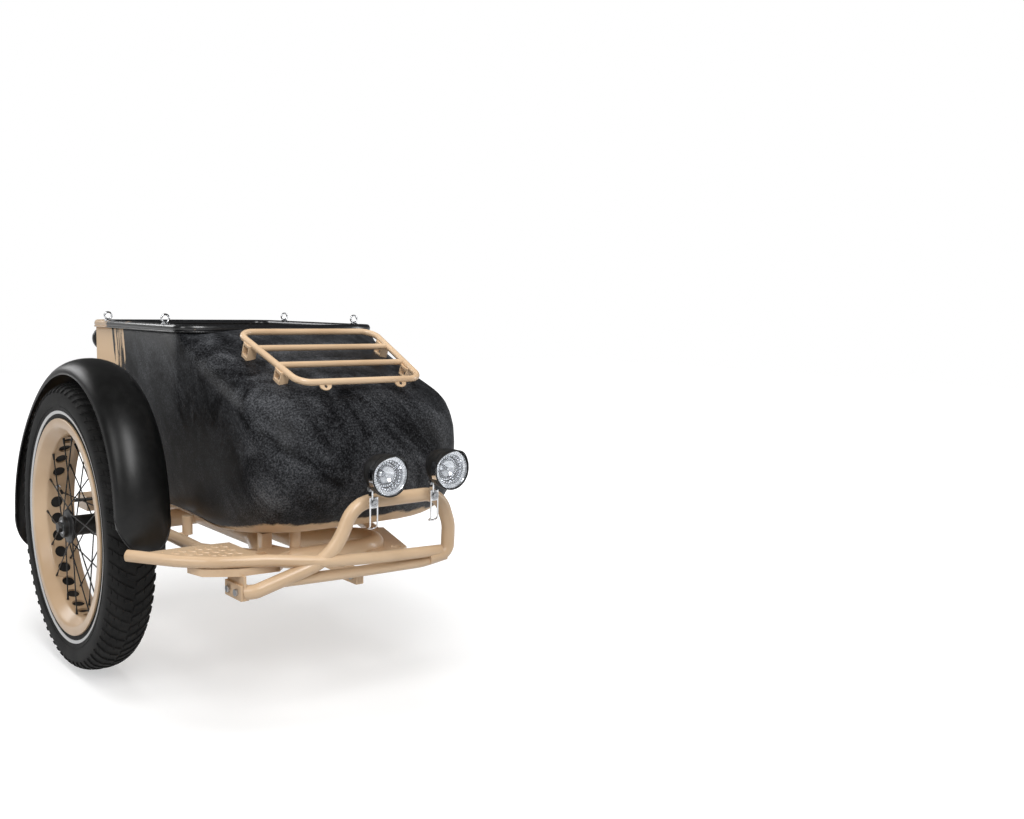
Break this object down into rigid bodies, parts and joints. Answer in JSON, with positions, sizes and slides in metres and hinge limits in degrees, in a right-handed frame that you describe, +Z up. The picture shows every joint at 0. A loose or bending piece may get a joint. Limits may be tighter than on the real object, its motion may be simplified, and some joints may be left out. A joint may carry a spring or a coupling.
{
  "type": "bicycle sidecar",
  "caption": "Hollow passenger or cargo tub on a tube chassis, with a spoked fat-tyre wheel under a fender, a step, a bumper hoop with tilting headlamps and a luggage rack.",
  "frame": {"origin": "centre of the rear coupling's flange face, which bolts to the bicycle", "axes": "+X points at the bicycle, out of the coupling face; the sidecar drives towards -Y; +Z is up; the ground is 0.318 m below the origin"},
  "size_m": [0.7793, 1.1099, 0.7171],
  "materials": {
    "tub_paint": "glossy charcoal black with a brushed, mottled effect over sand",
    "sand_paint": "satin sand powder coat",
    "black_metal": "satin black",
    "black_gloss": "gloss black",
    "black_plastic": "satin black",
    "clear_plastic": "clear",
    "chrome": "polished",
    "steel": "zinc plated",
    "tyre": "moulded tread, pale line on the sidewall",
    "rubber": "matt",
    "plywood": "clear lacquer",
    "upholstery": "soft grain"
  },
  "bodies": {
    "sidecar": {"axle_nut": "steel", "axle_spindle": "steel", "back_cushion": "upholstery", "bumper_frame": "sand_paint", "chassis_frame": "sand_paint", "clamp_bolt_inner_front": "steel", "clamp_bolt_inner_rear": "steel", "clamp_bolt_outer_front": "steel", "clamp_bolt_outer_rear": "steel", "clamp_plate_inner": "sand_paint", "clamp_plate_outer": "sand_paint", "coupling_flange": "sand_paint", "coupling_plate": "sand_paint", "fender": "black_gloss", "fender_stay_front": "black_metal", "fender_stay_rear": "black_metal", "floor_board": "plywood", "headlamp_pivot_bolt_inner": "steel", "headlamp_pivot_bolt_outer": "steel", "headlamp_strap_bolt_inner": "steel", "headlamp_strap_bolt_outer": "steel", "headlamp_strap_inner": "chrome", "headlamp_strap_outer": "chrome", "rack_bolt_1": "steel", "rack_bolt_2": "steel", "rack_bolt_3": "steel", "rack_bolt_4": "steel", "rack_frame": "sand_paint", "seat_base": "plywood", "seat_cushion": "upholstery", "step_plate": "sand_paint", "stub_axle": "black_metal", "stub_bolt_front": "steel", "stub_bolt_rear": "steel", "tail_lamp_base": "black_plastic", "tail_lamp_bracket": "black_plastic", "tail_lamp_lens": "clear_plastic", "tie_down_eye_front_inner": "chrome", "tie_down_eye_front_outer": "chrome", "tie_down_eye_rear_inner": "chrome", "tie_down_eye_rear_outer": "chrome", "tub_bolt_1": "steel", "tub_bolt_2": "steel", "tub_bolt_3": "steel", "tub_bolt_4": "steel", "tub_shell": "tub_paint"},
    "wheel": {"tyre": "tyre", "inner_tube": "rubber", "rim_strip": "rubber", "rim": "sand_paint", "hub_with_spokes": "black_metal", "outer_bearing": "steel", "inner_bearing": "steel"},
    "headlamp_outer": {"headlamp_housing_outer": "black_plastic", "headlamp_lens_outer": "clear_plastic", "headlamp_reflector_outer": "chrome"},
    "headlamp_inner": {"headlamp_housing_inner": "black_plastic", "headlamp_lens_inner": "clear_plastic", "headlamp_reflector_inner": "chrome"}
  },
  "joints": [
    {"name": "wheel_spin", "type": "hinge", "parent": "sidecar", "child": "wheel", "pos_m": [-0.726, -0.084, -0.028], "axis": [1, 0, 0], "continuous": true},
    {"name": "headlamp_tilt_outer", "type": "hinge", "parent": "sidecar", "child": "headlamp_outer", "pos_m": [-0.4135, -0.676, 0.099], "axis": [1, 0, 0], "range_deg": [-20, 20]},
    {"name": "headlamp_tilt_inner", "type": "hinge", "parent": "sidecar", "child": "headlamp_inner", "pos_m": [-0.2825, -0.676, 0.099], "axis": [1, 0, 0], "range_deg": [-20, 20]}
  ]
}
